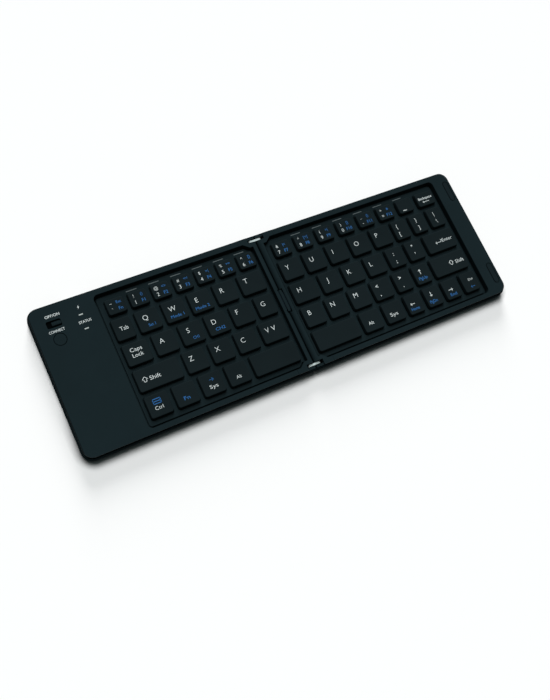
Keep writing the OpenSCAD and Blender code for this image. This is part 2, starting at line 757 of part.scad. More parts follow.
module cap(side, row, i) {
    w = key_w(side, row, i);
    d = key_d(row);
    m = key_mid(side, row, i);
    translate([m[0], m[1], 0]) difference() {
        union() {
            translate([0, 0, key_foot]) linear_extrude(key_top - key_foot - crown_step) round_rect(w, d, key_r);
            translate([0, 0, key_foot]) linear_extrude(key_top - key_foot)
                round_rect(w - 2*crown_step, d - 2*crown_step, key_r - crown_step/2);
        }
        difference() {
            translate([0, 0, key_foot - 1]) linear_extrude(key_roof - key_foot + 1)
                round_rect(w - 2*key_t, d - 2*key_t, max(0.2, key_r - key_t));
            // post that presses the dome
            translate([0, 0, dome_top]) cylinder(h = key_roof - dome_top + 1, r = 1.4);
        }
    }
}

module caps(side, row, first, last) color("#1b2224") for (i = [first:last]) cap(side, row, i);

module left_number_keys() caps(LEFT, 0, 0, 6);
module tab_key() caps(LEFT, 1, 0, 0);
module qwert_keys() caps(LEFT, 1, 1, 5);
module caps_lock_key() caps(LEFT, 2, 0, 0);
module asdfg_keys() caps(LEFT, 2, 1, 5);
module left_shift_key() caps(LEFT, 3, 0, 0);
module zxcv_keys() caps(LEFT, 3, 1, 4);
module ctrl_key() caps(LEFT, 4, 0, 0);
module fn_key() caps(LEFT, 4, 1, 1);
module left_system_key() caps(LEFT, 4, 2, 2);
module left_alt_key() caps(LEFT, 4, 3, 3);
module left_space_key() caps(LEFT, 4, 4, 4);
module right_number_keys() caps(RIGHT, 0, 0, 6);
module backspace_key() caps(RIGHT, 0, 7, 7);
module yuiop_keys() caps(RIGHT, 1, 0, 4);
module bracket_keys() caps(RIGHT, 1, 5, 7);
module hjkl_keys() caps(RIGHT, 2, 0, 3);
module punctuation_keys() {
    caps(RIGHT, 2, 4, 5);
    caps(RIGHT, 3, 3, 4);
}
module enter_key() caps(RIGHT, 2, 6, 6);
module bnm_keys() caps(RIGHT, 3, 0, 2);
module up_key() caps(RIGHT, 3, 5, 5);
module right_shift_key() caps(RIGHT, 3, 6, 6);
module right_space_key() caps(RIGHT, 4, 0, 0);
module right_alt_key() caps(RIGHT, 4, 1, 1);
module right_system_key() caps(RIGHT, 4, 2, 2);
module left_arrow_key() caps(RIGHT, 4, 3, 3);
module down_key() caps(RIGHT, 4, 4, 4);
module right_arrow_key() caps(RIGHT, 4, 5, 5);
module delete_key() caps(RIGHT, 4, 6, 6);

left_base();
left_bezel();
left_hinge_frame();
left_deck();
left_circuit();
left_domes();
left_scissors();
left_feet();
left_screws();
main_board();
battery();
charging_socket();
slide_switch();
power_slider();
button_switch();
connect_button();
status_lights();
hinge_links();
hinge_pins();
cable_guard();
ribbon_cable();
right_base();
right_bezel();
right_hinge_frame();
right_deck();
right_circuit();
right_domes();
right_scissors();
right_feet();
right_screws();
right_pads();
left_number_keys();
tab_key();
qwert_keys();
caps_lock_key();
asdfg_keys();
left_shift_key();
zxcv_keys();
ctrl_key();
fn_key();
left_system_key();
left_alt_key();
left_space_key();
right_number_keys();
backspace_key();
yuiop_keys();
bracket_keys();
hjkl_keys();
punctuation_keys();
enter_key();
bnm_keys();
up_key();
right_shift_key();
right_space_key();
right_alt_key();
right_system_key();
left_arrow_key();
down_key();
right_arrow_key();
delete_key();
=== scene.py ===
# Folding keyboard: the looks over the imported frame. Metres, +Z up, typist on the -Y side.
import json
import math

import bmesh
import bpy
from mathutils import Matrix, Vector

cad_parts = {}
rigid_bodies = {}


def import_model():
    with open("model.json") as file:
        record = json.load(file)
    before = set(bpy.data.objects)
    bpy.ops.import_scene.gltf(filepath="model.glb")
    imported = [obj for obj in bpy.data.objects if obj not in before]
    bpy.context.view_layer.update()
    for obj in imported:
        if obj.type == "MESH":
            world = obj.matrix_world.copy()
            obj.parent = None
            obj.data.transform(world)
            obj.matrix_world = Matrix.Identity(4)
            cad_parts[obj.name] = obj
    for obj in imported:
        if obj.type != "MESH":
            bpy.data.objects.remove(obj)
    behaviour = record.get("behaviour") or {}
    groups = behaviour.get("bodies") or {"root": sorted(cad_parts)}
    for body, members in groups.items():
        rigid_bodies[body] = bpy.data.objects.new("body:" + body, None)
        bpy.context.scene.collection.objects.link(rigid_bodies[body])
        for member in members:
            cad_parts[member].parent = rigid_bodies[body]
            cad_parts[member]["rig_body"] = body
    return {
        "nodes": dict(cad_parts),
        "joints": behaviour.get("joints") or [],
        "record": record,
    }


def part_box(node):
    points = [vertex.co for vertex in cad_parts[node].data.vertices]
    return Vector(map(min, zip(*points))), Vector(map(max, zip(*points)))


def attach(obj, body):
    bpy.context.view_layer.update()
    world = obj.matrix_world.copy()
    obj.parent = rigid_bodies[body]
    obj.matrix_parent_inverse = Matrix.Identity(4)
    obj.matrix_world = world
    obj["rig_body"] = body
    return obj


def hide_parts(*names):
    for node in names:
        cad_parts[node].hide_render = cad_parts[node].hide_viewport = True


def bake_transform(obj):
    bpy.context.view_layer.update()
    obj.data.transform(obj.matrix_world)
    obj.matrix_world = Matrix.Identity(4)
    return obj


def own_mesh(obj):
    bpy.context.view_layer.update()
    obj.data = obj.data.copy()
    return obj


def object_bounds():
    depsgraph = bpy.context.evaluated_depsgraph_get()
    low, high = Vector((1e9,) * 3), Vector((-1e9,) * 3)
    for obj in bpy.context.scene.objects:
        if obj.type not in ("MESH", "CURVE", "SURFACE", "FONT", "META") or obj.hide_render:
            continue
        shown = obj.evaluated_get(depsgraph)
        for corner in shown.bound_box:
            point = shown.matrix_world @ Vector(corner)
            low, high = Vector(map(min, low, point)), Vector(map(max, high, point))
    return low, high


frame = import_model()
cad_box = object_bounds()
MM = 0.001
WELD = 2e-6         # vertices nearer than this are one
FLAT = 0.6          # degrees; faces that meet at less are joined into one

# ---- Workshop helpers ----


def clear_selection():
    if bpy.context.object and bpy.context.object.mode != "OBJECT":
        bpy.ops.object.mode_set(mode="OBJECT")
    bpy.ops.object.select_all(action="DESELECT")


def take(piece):
    """Makes a piece the only selected one."""
    clear_selection()
    piece.select_set(True)
    bpy.context.view_layer.objects.active = piece
    return piece


def edit(piece):
    """Opens a piece in edit mode with nothing picked; done() closes it."""
    take(piece)
    bpy.ops.object.mode_set(mode="EDIT")
    bpy.ops.mesh.select_all(action="DESELECT")


def done():
    bpy.ops.object.mode_set(mode="OBJECT")


def pick_faces(piece, test):
    """Selects the faces of the piece in edit mode whose centre and normal pass the test."""
    bpy.ops.mesh.select_all(action="DESELECT")
    bpy.ops.mesh.select_mode(type="FACE")
    shape = bmesh.from_edit_mesh(piece.data)
    for face in shape.faces:
        face.select_set(bool(test(face.calc_center_median(), face.normal)))
    bmesh.update_edit_mesh(piece.data)


def pick_edges(piece, test):
    """Selects the edges whose two ends pass the test."""
    bpy.ops.mesh.select_all(action="DESELECT")
    bpy.ops.mesh.select_mode(type="EDGE")
    shape = bmesh.from_edit_mesh(piece.data)
    for edge in shape.edges:
        edge.select_set(bool(test(edge.verts[0].co, edge.verts[1].co)))
    bmesh.update_edit_mesh(piece.data)


def pick_verts(piece, test):
    """Selects the vertices that pass the test."""
    bpy.ops.mesh.select_all(action="DESELECT")
    bpy.ops.mesh.select_mode(type="VERT")
    shape = bmesh.from_edit_mesh(piece.data)
    for vert in shape.verts:
        vert.select_set(bool(test(vert.co)))
    bmesh.update_edit_mesh(piece.data)


def resize(piece, scale, *tests, shift=None):
    """Resizes, and moves, what passes each test about its own middle."""
    edit(piece)
    for test in tests:
        pick_verts(piece, test)
        bpy.ops.transform.resize(value=scale)
        if shift:
            bpy.ops.transform.translate(value=shift)
    done()


def settle(piece):
    """Applies a piece's place, turn and size to its mesh."""
    take(piece)
    bpy.ops.object.transform_apply(location=True, rotation=True, scale=True)
    return piece


def apply_all(piece):
    """Applies a piece's modifiers to its mesh."""
    take(piece)
    for modifier in list(piece.modifiers):
        bpy.ops.object.modifier_apply(modifier=modifier.name)


def smooth(piece, degrees=35):
    take(piece)
    bpy.ops.object.shade_smooth_by_angle(angle=math.radians(degrees))


def dress(piece, name, material, body):
    """Names a finished piece, gives it its material and lets it ride on its body."""
    piece.name = name
    piece.data.name = name
    piece.data.materials.clear()
    piece.data.materials.append(material)
    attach(piece, body)
    return piece


def join(pieces):
    """Joins pieces into the first one."""
    clear_selection()
    for piece in pieces:
        piece.select_set(True)
    bpy.context.view_layer.objects.active = pieces[0]
    if len(pieces) > 1:
        bpy.ops.object.join()
    return bpy.context.object


def body_of(node):
    return frame["nodes"][node]["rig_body"]


# ---- Materials ----


def group(name, inputs, outputs):
    """An empty shader group with its sockets."""
    tree = bpy.data.node_groups.new(name, "ShaderNodeTree")
    for label, kind, value in inputs:
        socket = tree.interface.new_socket(name=label, in_out="INPUT", socket_type=kind)
        if value is not None:
            socket.default_value = value
    for label, kind in outputs:
        tree.interface.new_socket(name=label, in_out="OUTPUT", socket_type=kind)
    return tree, tree.nodes.new("NodeGroupInput"), tree.nodes.new("NodeGroupOutput")


def put(tree, kind, links=None, **settings):
    """Adds a node to a tree, with its settings and what feeds its sockets."""
    node = tree.nodes.new(kind)
    for key, value in settings.items():
        setattr(node, key, value)
    for socket, source in (links or {}).items():
        if isinstance(source, bpy.types.NodeSocket):
            tree.links.new(source, node.inputs[socket])
        else:
            node.inputs[socket].default_value = source
    return node


def maths(tree, operation, *values):
    """The result of a sum on numbers or sockets."""
    return put(tree, "ShaderNodeMath", dict(enumerate(values)), operation=operation).outputs[0]


def remap(tree, value, low, high, to_low, to_high):
    """A value stretched from one range to another, and kept inside it."""
    sockets = {"Value": value, "From Min": low, "From Max": high,
               "To Min": to_low, "To Max": to_high}
    return put(tree, "ShaderNodeMapRange", sockets).outputs[0]


def scaled(tree, colour, amount):
    """A colour times a number."""
    node = put(tree, "ShaderNodeVectorMath", {0: colour}, operation="SCALE")
    tree.links.new(amount, node.inputs["Scale"])
    return node.outputs[0]


def noise(tree, place, scale, detail, roughness=0.5):
    sockets = {"Vector": place, "Scale": scale, "Detail": detail, "Roughness": roughness}
    return put(tree, "ShaderNodeTexNoise", sockets).outputs[0]


def object_place(tree):
    return put(tree, "ShaderNodeTexCoord").outputs["Object"]


def coloured(name):
    """A new material with its node tree and its surface shader."""
    material = bpy.data.materials.new(name)
    material.use_nodes = True
    return material, material.node_tree, material.node_tree.nodes["Principled BSDF"]


def moulded_grain():
    """Fine spark-eroded grain of moulded plastic, with broad and faint colour drift."""
    tree, inside, outside = group(
        "moulded_grain",
        [("Colour", "NodeSocketColor", (0.02, 0.02, 0.02, 1)),
         ("Grain size", "NodeSocketFloat", 0.25),
         ("Drift", "NodeSocketFloat", 0.08),
         ("Roughness", "NodeSocketFloat", 0.5)],
        [("Colour", "NodeSocketColor"),
         ("Roughness", "NodeSocketFloat"),
         ("Height", "NodeSocketFloat")])
    place = object_place(tree)
    scale = maths(tree, "DIVIDE", 1000.0, inside.outputs["Grain size"])
    grain = put(tree, "ShaderNodeTexVoronoi", {"Vector": place, "Scale": scale, "Randomness": 1.0})
    height = maths(tree, "ADD", grain.outputs["Distance"], noise(tree, place, scale, 3.0))
    swing = remap(tree, noise(tree, place, 28.0, 4.0, 0.6), 0.3, 0.7, -1.0, 1.0)
    amount = maths(tree, "MULTIPLY", swing, inside.outputs["Drift"])
    tint = scaled(tree, inside.outputs["Colour"], maths(tree, "ADD", amount, 1.0))
    shine = maths(tree, "MULTIPLY_ADD", amount, 0.6, inside.outputs["Roughness"])
    tree.links.new(tint, outside.inputs["Colour"])
    tree.links.new(shine, outside.inputs["Roughness"])
    tree.links.new(height, outside.inputs["Height"])
    return tree


def handling():
    """Faint dust and finger marks: a mask that gathers in soft patches."""
    tree, inside, outside = group(
        "handling", [("Amount", "NodeSocketFloat", 0.2)], [("Mask", "NodeSocketFloat")])
    place = object_place(tree)
    patch = remap(tree, noise(tree, place, 45.0, 5.0, 0.55), 0.45, 0.75, 0.0, 1.0)
    speck = remap(tree, noise(tree, place, 1400.0, 2.0), 0.4, 0.8, 0.3, 1.0)
    share = maths(tree, "MULTIPLY", maths(tree, "MULTIPLY", patch, speck), inside.outputs["Amount"])
    tree.links.new(share, outside.inputs["Mask"])
    return tree


GRAIN = moulded_grain()
HANDLING = handling()
GRAIN_DEPTH = 0.04 * MM
BRUSH_DEPTH = 0.03 * MM
# painted shade: plastics given a reach darken their colour in gaps and corners, where shade falls
PAINTED_SHADE_OPEN = (0.25, 0.8)      # how much of the sky a gap and a free face see
PAINTED_SHADE_LEFT = 0.12            # what is left of the colour in a gap


def plastic(name, colour, rough=0.5, grain=0.25, bump=0.25, drift=0.08, dust=0.08, specular=0.2,
            coat=0.0, painted_shade_reach=0.0):
    """Moulded plastic or rubber; a painted-shade reach in mm paints shade into gaps and corners of
    that size.
    """
    material, tree, skin = coloured(name)
    body = put(tree, "ShaderNodeGroup", node_tree=GRAIN)
    body.inputs["Colour"].default_value = (*colour, 1)
    body.inputs["Grain size"].default_value = grain
    body.inputs["Drift"].default_value = drift
    body.inputs["Roughness"].default_value = rough
    marks = put(tree, "ShaderNodeGroup", node_tree=HANDLING)
    marks.inputs["Amount"].default_value = dust
    mix = put(tree, "ShaderNodeMix", data_type="RGBA")
    tree.links.new(marks.outputs["Mask"], mix.inputs["Factor"])
    tree.links.new(body.outputs["Colour"], mix.inputs["A"])
    mix.inputs["B"].default_value = (*[c * 1.5 + 0.006 for c in colour], 1)
    skin_colour = mix.outputs["Result"]
    if painted_shade_reach:
        # painted shade in gaps and corners, from ambient occlusion
        sky = put(tree, "ShaderNodeAmbientOcclusion", {"Distance": painted_shade_reach * MM}, samples=6)
        shade = remap(tree, sky.outputs["AO"], *PAINTED_SHADE_OPEN, PAINTED_SHADE_LEFT, 1.0)
        skin_colour = scaled(tree, skin_colour, shade)
    tree.links.new(skin_colour, skin.inputs["Base Color"])
    tree.links.new(body.outputs["Roughness"], skin.inputs["Roughness"])
    relief = put(tree, "ShaderNodeBump",
                 {"Height": body.outputs["Height"], "Strength": bump, "Distance": GRAIN_DEPTH})
    tree.links.new(relief.outputs[0], skin.inputs["Normal"])
    skin.inputs["Specular IOR Level"].default_value = specular
    skin.inputs["Coat Weight"].default_value = coat
    return material


def painted_groove_and_rim(material, line, width, shade, rim_highlight):
    """Paints a dark line of groove shade into the top face at a place along X, and a painted
    highlight that makes the rim outside it lighter.
    """
    tree = material.node_tree
    skin = tree.nodes["Principled BSDF"]
    colour = skin.inputs["Base Color"].links[0].from_socket
    across = put(tree, "ShaderNodeSeparateXYZ", {"Vector": object_place(tree)}).outputs["X"]
    off = maths(tree, "SUBTRACT", across, line)
    dark = remap(tree, maths(tree, "ABSOLUTE", off), width * 0.5, width, shade, 1.0)
    light = remap(tree, off, -width * 1.6, -width * 0.8, rim_highlight, 1.0)
    result = scaled(tree, colour, maths(tree, "MULTIPLY", dark, light))
    tree.links.new(result, skin.inputs["Base Color"])
    return material


def metal(name, colour, rough=0.3, brush=(1, 1, 1), metallic=1.0):
    """Steel or foil with fine drawn lines; a low metallic share gives a bead-blasted look."""
    material, tree, skin = coloured(name)
    turn = put(tree, "ShaderNodeMapping", {"Vector": object_place(tree), "Scale": brush})
    lines = noise(tree, turn.outputs[0], 900.0, 4.0)
    shade = put(tree, "ShaderNodeMix", data_type="RGBA")
    tree.links.new(lines, shade.inputs["Factor"])
    shade.inputs["A"].default_value = (*[c * 0.82 for c in colour], 1)
    shade.inputs["B"].default_value = (*colour, 1)
    tree.links.new(shade.outputs["Result"], skin.inputs["Base Color"])
    spread = remap(tree, lines, 0.3, 0.7, rough - 0.08, rough + 0.1)
    tree.links.new(spread, skin.inputs["Roughness"])
    skin.inputs["Metallic"].default_value = metallic
    relief = put(tree, "ShaderNodeBump",
                 {"Height": lines, "Strength": 0.15, "Distance": BRUSH_DEPTH})
    tree.links.new(relief.outputs[0], skin.inputs["Normal"])
    return material


def ink(name, colour):
    """Screen-printed ink, slightly uneven where the grain shows through."""
    return plastic(name, colour, rough=0.55, grain=0.18, bump=0.12, drift=0.1, dust=0.0,
                   specular=0.3)


# the shell plastic carries painted shade in its gaps and corners
SHELL = dict(colour=(0.0092, 0.0172, 0.0202), rough=0.58, grain=0.3, bump=0.3, painted_shade_reach=1.3)
TOP = plastic("case_top_plastic", **SHELL)
# the left end's top: painted shade along its groove line and a painted highlight on the rim outside
# it
TOP_PAINTED_RIM = painted_groove_and_rim(plastic("case_end_painted_rim_plastic", **SHELL),
                    line=cad_box[0].x + 1.05 * MM, width=0.4 * MM, shade=0.35, rim_highlight=4.2)
SIDE = plastic("case_side_plastic", (0.0078, 0.0130, 0.0150), rough=0.8, grain=0.3, bump=0.2,
               specular=0.0)
KEY = plastic("key_plastic", (0.0083, 0.0136, 0.0155), rough=0.56, grain=0.22, bump=0.22)
DECK = plastic("deck_plastic", (0.0098, 0.0178, 0.0207), rough=0.6, grain=0.4, bump=0.3)
# the control and guard plastics also carry painted shade in their gaps and corners
CONTROL = plastic("control_plastic", (0.0088, 0.0164, 0.0192), rough=0.52, grain=0.25, painted_shade_reach=1.0)
# painted shade: a near-black plastic for the floor of the slider's slot
SLOT_PAINTED_SHADE = plastic("slot_painted_shade", (0.0015, 0.0024, 0.0028), rough=0.7, specular=0.05)
GUARD = plastic("guard_plastic", (0.0088, 0.0162, 0.0190), rough=0.55, grain=0.3, painted_shade_reach=1.0)
PAD = plastic("pad_rubber", (0.0085, 0.0150, 0.0176), rough=0.7, grain=0.4, bump=0.35)
RUBBER = plastic("soft_rubber", (0.008, 0.010, 0.011), rough=0.75, grain=0.5, bump=0.35)
DOME = plastic("dome_rubber", (0.02, 0.022, 0.023), rough=0.6, grain=0.4, specular=0.25)
SCISSOR = plastic("scissor_plastic", (0.012, 0.013, 0.014), rough=0.45, grain=0.3)
BOARD = plastic("board_laminate", (0.012, 0.07, 0.035), rough=0.4, grain=0.6, coat=0.3)
FILM = plastic("ribbon_film", (0.012, 0.02, 0.028), rough=0.3, grain=0.8, bump=0.1, coat=0.4)
POUCH = metal("battery_pouch", (0.55, 0.57, 0.6), rough=0.35)
STEEL = metal("bright_steel", (0.78, 0.90, 0.89), rough=0.42, brush=(0.1, 1, 1), metallic=0.25)
DULL = metal("plated_steel", (0.32, 0.33, 0.34), rough=0.4)
WHITE = ink("white_ink", (0.66, 0.72, 0.72))
BLUE = ink("blue_ink", (0.032, 0.135, 0.36))
# painted highlight: a pale ink for the glints behind the number keys
PAINTED_GLINT = ink("painted_glint_ink", (0.12, 0.145, 0.15))
LAMP = plastic("light_guide", (0.42, 0.47, 0.46), rough=0.3, grain=0.8, bump=0.05, coat=0.3)

# ---- Case, hinge and fittings: the CAD shapes with their edges broken ----

SHARP = 40              # degrees; edges sharper than this are rounded
CROWN_Z = 6.7 * MM      # the slider's knob and the button's crown start above this
SLOT_Z = 6.75 * MM      # below this the slider is the dark floor of its slot


def copy_of(node):
    """A copy of a CAD node with its loose triangles joined into clean faces."""
    piece = frame["nodes"][node].copy()
    piece.data = piece.data.copy()
    piece.parent = None
    for key in list(piece.keys()):
        del piece[key]
    bpy.context.scene.collection.objects.link(piece)
    edit(piece)
    bpy.ops.mesh.select_all(action="SELECT")
    bpy.ops.mesh.remove_doubles(threshold=WELD)
    bpy.ops.mesh.dissolve_limited(angle_limit=math.radians(FLAT))
    done()
    return piece


def soften(piece, width, segments=3):
    """Rounds the sharp edges by a width in mm."""
    bevel = piece.modifiers.new("edges", "BEVEL")
    bevel.width = width * MM
    bevel.segments = segments
    bevel.limit_method = "ANGLE"
    bevel.angle_limit = math.radians(SHARP)
    bevel.use_clamp_overlap = True
    bevel.miter_outer = "MITER_ARC"
    apply_all(piece)
    smooth(piece)
    even = piece.modifiers.new("even", "WEIGHTED_NORMAL")
    even.keep_sharp = True
    even.weight = 80
    apply_all(piece)
    return piece


def fitted(node, material, width, segments=3):
    """The finished copy of a CAD node, in place of it."""
    piece = soften(copy_of(node), width, segments)
    dress(piece, node + "_finished", material, body_of(node))
    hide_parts(node)
    return piece


def paint(node, material):
    """Gives a CAD node that stays as it is its material."""
    target = frame["nodes"][node]
    target.data.materials.clear()
    target.data.materials.append(material)


def front(place):
    return place.y < 0


def back(place):
    return place.y > 0


def crown(place):
    return place.z > CROWN_Z


for side in ("left", "right"):
    fitted(side + "_base", SIDE, 0.12, 2)
    fitted(side + "_bezel", TOP_PAINTED_RIM if side == "left" else TOP, 0.28, 3)
    fitted(side + "_hinge_frame", TOP, 0.22, 3)
    fitted(side + "_feet", RUBBER, 0.25)
    fitted(side + "_screws", DULL, 0.06, 2)
    fitted(side + "_deck", DECK, 0.12, 2)
    paint(side + "_circuit", BOARD)

# these are drawn slightly narrower than their openings, so that the dark gaps beside them show
resize(fitted("right_pads", PAD, 0.15), (0.8, 0.962, 1), front, back, shift=(0.12 * MM, 0, 0))
resize(fitted("hinge_links", STEEL, 0.25, 4), (1, 0.74, 1), front, back)
fitted("hinge_pins", DULL, 0.15)
resize(fitted("cable_guard", GUARD, 0.15), (0.92, 0.997, 1), lambda place: True)
fitted("charging_socket", STEEL, 0.08, 2)
slider = fitted("power_slider", CONTROL, 0.22)
resize(slider, (0.98, 0.46, 1), crown)
# the slider's faces below SLOT_Z get painted shade as the dark floor of its slot
slider.data.materials.append(SLOT_PAINTED_SHADE)
slider.active_material_index = 1
edit(slider)
pick_faces(slider, lambda centre, normal: centre.z < SLOT_Z)
bpy.ops.object.material_slot_assign()
done()
resize(fitted("connect_button", CONTROL, 0.3, 4), (0.95, 0.95, 1), crown)
fitted("status_lights", LAMP, 0.08, 2)
paint("main_board", BOARD)
paint("battery", POUCH)
paint("slide_switch", STEEL)
paint("button_switch", CONTROL)

# ---- Key caps ----

# in mm
CAP_GAP = 0.3       # how far the crown draws in on each side
CAP_ROUND = 1.3     # radius of the upright corners
CAP_EDGE = 0.3      # rounding of the crown's edge
CAP_WALL = 0.8
CAP_MARGIN = 0.55   # flat strip around the dish
DISH = 0.03         # depth of the dish


def footprints(node):
    """Footprint (x0, y0, x1, y1) of each solid in a CAD node, row by row from the back."""
    shape = bmesh.new()
    shape.from_mesh(frame["nodes"][node].data)
    bmesh.ops.remove_doubles(shape, verts=shape.verts, dist=WELD)
    left = set(shape.verts)
    found = []
    while left:
        island = [left.pop()]
        for vert in island:
            for edge in vert.link_edges:
                other = edge.other_vert(vert)
                if other in left:
                    left.remove(other)
                    island.append(other)
        xs = [v.co.x for v in island]
        ys = [v.co.y for v in island]
        found.append((min(xs), min(ys), max(xs), max(ys)))
    shape.free()
    return sorted(found, key=lambda f: (-round(f[1] * 1000), f[0]))


cap_low, cap_high = (corner.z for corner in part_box("tab_key"))
patterns = {}


def cap_pattern(w, d):
    """One key cap at the origin: tapered, rounded, hollow and very slightly dished."""
    size = (round(w * 1e5), round(d * 1e5))
    if size in patterns:
        return patterns[size]
    clear_selection()
    bpy.ops.mesh.primitive_cube_add(size=1, location=(0, 0, (cap_low + cap_high) / 2))
    cap = bpy.context.object
    cap.scale = (w, d, cap_high - cap_low)
    settle(cap)
    edit(cap)
    pick_faces(cap, lambda c, n: n.z > 0.9)
    bpy.ops.transform.resize(value=((w - 2 * CAP_GAP * MM) / w, (d - 2 * CAP_GAP * MM) / d, 1))
    pick_edges(cap, lambda a, b: abs(a.z - b.z) > 1e-4)
    bpy.ops.mesh.bevel(offset=CAP_ROUND * MM, segments=6, affect="EDGES")
    pick_edges(cap, lambda a, b: min(a.z, b.z) > cap_high - 1e-5)
    bpy.ops.mesh.bevel(offset=CAP_EDGE * MM, segments=4, affect="EDGES")
    pick_faces(cap, lambda c, n: n.z > 0.999)
    bpy.ops.mesh.inset(thickness=CAP_MARGIN * MM)
    bpy.ops.transform.translate(value=(0, 0, -DISH * MM))
    pick_faces(cap, lambda c, n: n.z < -0.9)
    bpy.ops.mesh.delete(type="FACE")
    done()
    wall = cap.modifiers.new("wall", "SOLIDIFY")
    wall.thickness = CAP_WALL * MM
    wall.offset = -1
    wall.use_even_offset = True
    apply_all(cap)
    smooth(cap, 40)
    cap.hide_render = True
    patterns[size] = cap
    return cap


def cap_at(foot):
    """A key cap on its footprint."""
    x0, y0, x1, y1 = foot
    cap = cap_pattern(x1 - x0, y1 - y0).copy()
    cap.data = cap.data.copy()
    cap.hide_render = False
    bpy.context.scene.collection.objects.link(cap)
    cap.location = ((x0 + x1) / 2, (y0 + y1) / 2, 0)
    return settle(cap)


key_nodes = [s["node"] for s in frame["record"]["subparts"] if s["material_slot"] == "key_plastic"]
feet_of_keys = {node: footprints(node) for node in key_nodes}
for node, feet in feet_of_keys.items():
    caps = dress(join([cap_at(f) for f in feet]), node + "_caps", KEY, node)
    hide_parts(node)
for pattern in patterns.values():
    bpy.data.objects.remove(pattern)

# ---- Lettering ----

# in mm
CAPITAL_SHARE = 0.73    # height of a capital as a share of the type's size
WORD_DEPTH = 0.006      # half the thickness of a printed word
WORD_LIFT = 0.008       # height of its middle above the face
MARK_DEPTH = 0.012      # thickness of a printed stroke
MARK_LIFT = 0.002       # height of its underside above the face
face_z = cap_high - DISH * MM


def word(text, x, y, tall, level, wide=None, bold=0.0):
    """One line of printed text centred on (x, y), with capitals so tall, all in mm.

    Wide brings it to a length; bold thickens the strokes by a share of the height."""
    clear_selection()
    bpy.ops.object.text_add(location=(0, 0, 0))
    line = bpy.context.object
    line.data.body = text
    line.data.size = tall / CAPITAL_SHARE * MM
    line.data.offset = bold * tall * MM
    line.data.extrude = WORD_DEPTH * MM
    line.data.resolution_u = 3
    line.data.align_x = "CENTER"
    take(line)
    bpy.ops.object.convert(target="MESH")
    line = bpy.context.object
    xs = [v.co.x for v in line.data.vertices]
    if not xs:
        raise ValueError("no glyph for " + text)
    if wide:
        line.scale = (wide * MM / (max(xs) - min(xs)), 1, 1)
    middle = (max(xs) + min(xs)) / 2 * line.scale[0]
    line.location = (x * MM - middle, y * MM - tall * MM / 2, level + WORD_LIFT * MM)
    return settle(line)


def shape(points, x, y, level):
    """A flat printed shape from its outline in mm, just above the face at that level."""
    clear_selection()
    bpy.ops.mesh.primitive_circle_add(vertices=len(points), radius=MM, fill_type="NGON")
    mark = bpy.context.object
    for vert, point in zip(mark.data.vertices, points):
        vert.co = Vector(((x + point[0]) * MM, (y + point[1]) * MM, level + MARK_LIFT * MM))
    edit(mark)
    bpy.ops.mesh.select_all(action="SELECT")
    bpy.ops.mesh.extrude_region_move(TRANSFORM_OT_translate={"value": (0, 0, MARK_DEPTH * MM)})
    bpy.ops.mesh.select_all(action="SELECT")
    bpy.ops.mesh.normals_make_consistent(inside=False)
    done()
    return mark


def bar(x0, y0, x1, y1, width, level):
    """A straight printed stroke between two points."""
    along = Vector((x1 - x0, y1 - y0)).normalized() * width / 2
    off = Vector((-along.y, along.x))
    a, b = Vector((x0, y0)) - along, Vector((x1, y1)) + along
    return shape([a - off, b - off, b + off, a + off], 0, 0, level)


def arrow(x, y, angle, length, level, width, head):
    """A line arrow whose tip is length/2 from (x, y)."""
    turn = Matrix.Rotation(math.radians(angle), 2)
    tip, tail = turn @ Vector((length / 2, 0)), turn @ Vector((-length / 2, 0))
    wings = [turn @ Vector((length / 2 - head, s * head * 0.8)) for s in (-1, 1)]
    strokes = [(tail, tip), (tip, wings[0]), (tip, wings[1])]
    return [bar(x + a.x, y + a.y, x + b.x, y + b.y, width, level) for a, b in strokes]


def hollow_arrow(x, y, size, level):
    """The outlined arrow of a shift key, as strokes."""
    outline = [(0, 1), (0.95, 0.05), (0.45, 0.05), (0.45, -0.8),
               (-0.45, -0.8), (-0.45, 0.05), (-0.95, 0.05)]
    points = [(x + size * px, y + size * py) for px, py in outline]
    return [bar(*points[i - 1], *points[i], 0.32, level) for i in range(len(points))]


def menu_mark(x, y, size, level):
    """Three bars between two uprights: a plain menu sign."""
    step = size * 0.62
    rows = [bar(x - size, y + k * step, x + size, y + k * step, 0.5, level) for k in (-1, 0, 1)]
    ends = [bar(x + k * size, y - step, x + k * size, y + step, 0.42, level) for k in (-1, 1)]
    return rows + ends


prints_and_painted_glints = {}


def stamp(body, colour, pieces):
    """Adds printed pieces, and painted glints, to what its body carries in that colour."""
    prints_and_painted_glints.setdefault((body, colour), []).extend(pieces if isinstance(pieces, list) else [pieces])


def corner(foot, dx, dy):
    """A point so far to the right and in front of a key's left back corner, in mm."""
    return foot[0] / MM + dx, foot[3] / MM - dy


def on_key(node, dx, dy, index=0):
    return corner(feet_of_keys[node][index], dx, dy)


# from here on, every (right, front) pair is measured from the key's left back corner, in mm
LETTER_TALL = 3.4
LETTER_BOLD = -0.015
LETTERS = {
    "qwert_keys": ("QWERT", ((5.9, 5.2), (6.1, 5.6), (5.1, 5.7), (5.2, 5.3), (4.9, 4.7))),
    "asdfg_keys": ("ASDFG", ((5.5, 5.3), (5.6, 5.0), (5.4, 5.5), (4.4, 4.8), (4.9, 5.6))),
    "zxcv_keys": ("ZXCV", ((4.9, 5.1), (5.0, 5.4), (4.9, 5.9), (4.7, 5.5))),
    "yuiop_keys": ("YUIOP", ((5.0, 5.4), (5.4, 5.8), (4.1, 5.8), (5.1, 6.0), (4.0, 5.2))),
    "hjkl_keys": ("HJKL", ((5.6, 5.2), (5.4, 5.6), (4.7, 5.3), (4.2, 5.6))),
    "bnm_keys": ("BNM", ((5.0, 4.6), (4.7, 4.8), (4.9, 4.7))),
}
for node, (text, places) in LETTERS.items():
    for index, (letter, (dx, dy)) in enumerate(zip(text, places)):
        x, y = on_key(node, dx, dy, index)
        stamp(node, "white", word(letter, x, y, LETTER_TALL, face_z, bold=LETTER_BOLD))

